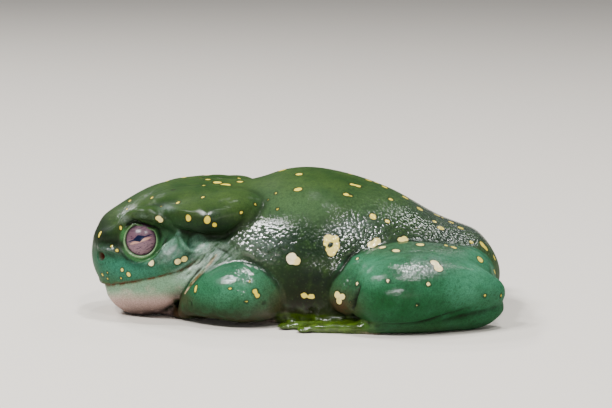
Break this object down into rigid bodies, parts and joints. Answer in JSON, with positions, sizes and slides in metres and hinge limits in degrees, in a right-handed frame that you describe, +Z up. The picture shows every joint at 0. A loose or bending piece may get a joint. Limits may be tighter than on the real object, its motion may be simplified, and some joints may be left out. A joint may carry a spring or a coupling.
{
  "type": "magnificent tree frog",
  "caption": "Still, life-size magnificent tree frog crouched flat on its belly, limbs folded in and swollen glands over its eardrums.",
  "frame": {"origin": "on the floor, under the middle of the frog's bounding box", "axes": "-X towards the snout, -Y towards the frog's left side, +Z up"},
  "size_m": [0.0982, 0.0726, 0.0348],
  "materials": {
    "back_skin": "moist olive-green skin",
    "limb_skin": "moist bright green skin",
    "jaw_skin": "pale matt throat skin",
    "ear_skin": "thin taut skin",
    "eye": "wet and clear"
  },
  "bodies": {
    "root": {"head": "back_skin", "torso": "back_skin", "lower_jaw": "jaw_skin", "eye_left": "eye", "eye_right": "eye", "tympanum_left": "ear_skin", "tympanum_right": "ear_skin", "upper_arm_left": "limb_skin", "upper_arm_right": "limb_skin", "forearm_left": "limb_skin", "forearm_right": "limb_skin", "hand_left": "limb_skin", "hand_right": "limb_skin", "thigh_left": "limb_skin", "thigh_right": "limb_skin", "shank_left": "limb_skin", "shank_right": "limb_skin", "tarsus_left": "limb_skin", "tarsus_right": "limb_skin", "foot_left": "limb_skin", "foot_right": "limb_skin"}
  },
  "joints": []
}
